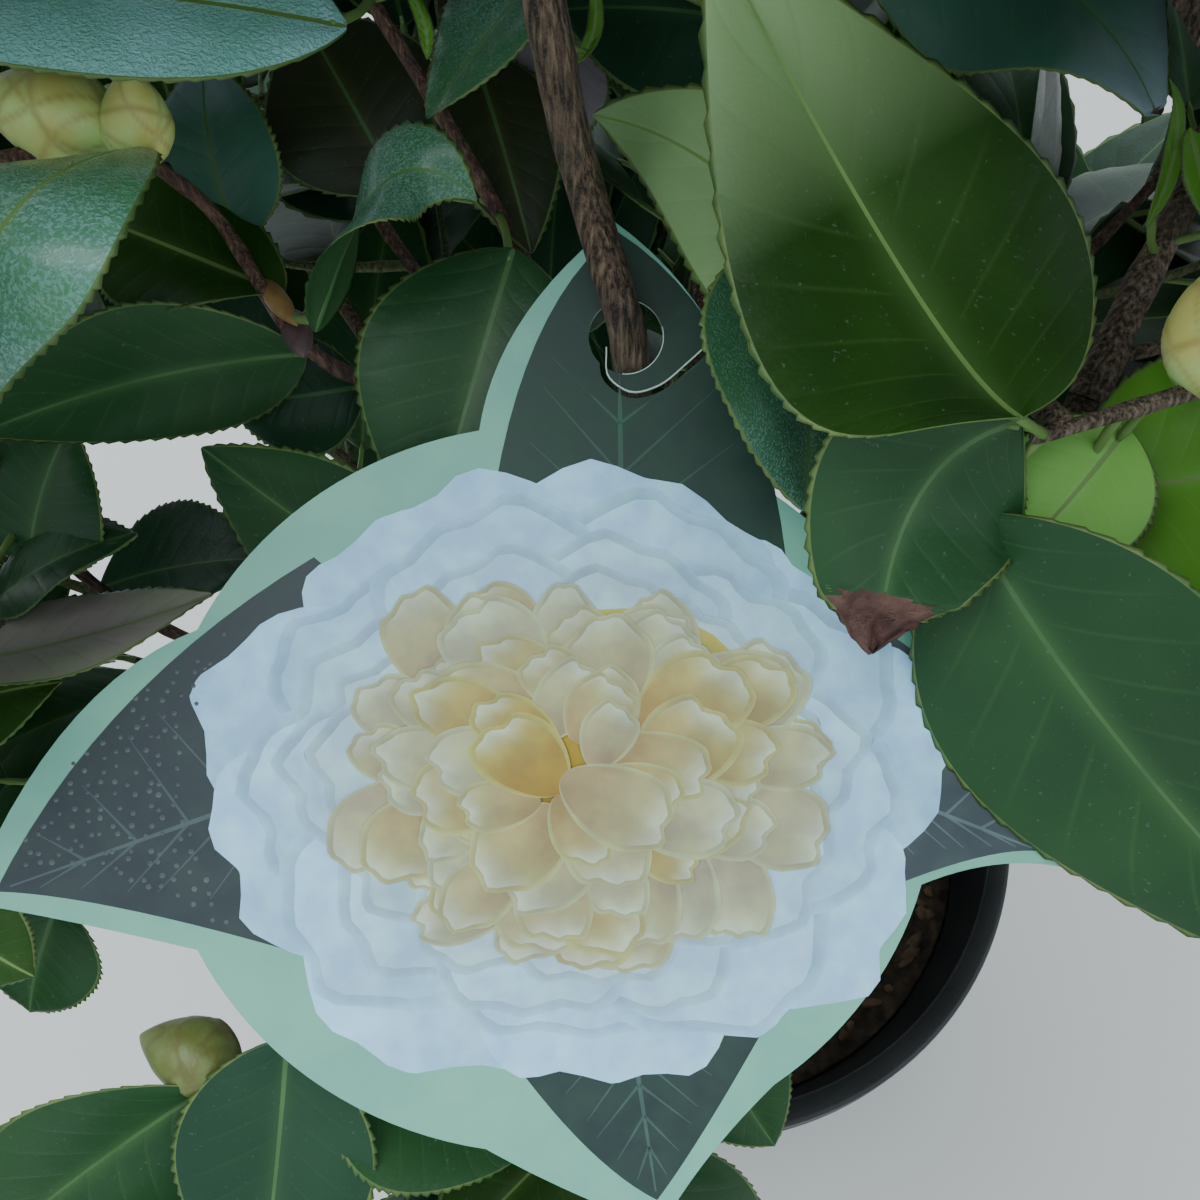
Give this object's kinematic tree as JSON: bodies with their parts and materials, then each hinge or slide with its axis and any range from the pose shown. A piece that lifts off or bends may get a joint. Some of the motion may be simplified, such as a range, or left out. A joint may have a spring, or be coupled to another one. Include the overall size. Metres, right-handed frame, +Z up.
{
  "type": "potted camellia shrub",
  "caption": "Young evergreen shrub with glossy oval leaves in a round black nursery pot, a flower picture label hooked on its stem.",
  "frame": {"origin": "centre of the pot's flat underside", "axes": "+Z up, -Y towards the side on which the label hangs, +X to the right seen from there"},
  "size_m": [0.3864, 0.3692, 0.6329],
  "materials": {
    "pot": "black moulded nursery pot plastic, slightly scuffed",
    "compost": "dark moist bark and peat compost",
    "bark": "brown bark with fine lengthwise fissures",
    "label": "thin satin printed plastic card with a pale mint border",
    "foliage": "dark green glossy leaves with pale midribs and finely toothed edges"
  },
  "bodies": {
    "root": {"pot": "pot", "compost": "compost", "trunk": "bark", "label": "label", "bough_left": "bark", "bough_upper_left": "bark", "bough_left_low": "bark", "bough_lower_left": "bark", "bough_right": "bark", "bough_right_front": "bark", "bough_upper_right": "bark", "bough_upper_back": "bark", "bough_upper_back_left": "bark", "bough_back": "bark", "bough_back_left": "bark", "bough_back_right": "bark", "bough_far_left": "bark", "bough_front_low": "bark", "bough_front_left": "bark", "bough_front_right": "bark", "bough_right_low": "bark", "bough_back_low": "bark", "bough_back_left_low": "bark", "bough_back_right_low": "bark", "foliage_left": "foliage", "foliage_upper_left": "foliage", "foliage_left_low": "foliage", "foliage_lower_left": "foliage", "foliage_right": "foliage", "foliage_right_front": "foliage", "foliage_top": "foliage", "foliage_upper_right": "foliage", "foliage_upper_back": "foliage", "foliage_upper_back_left": "foliage", "foliage_back": "foliage", "foliage_back_left": "foliage", "foliage_back_right": "foliage", "foliage_far_left": "foliage", "foliage_front_low": "foliage", "foliage_front_left": "foliage", "foliage_front_right": "foliage", "foliage_right_low": "foliage", "foliage_back_low": "foliage", "foliage_back_left_low": "foliage", "foliage_back_right_low": "foliage"}
  },
  "joints": []
}
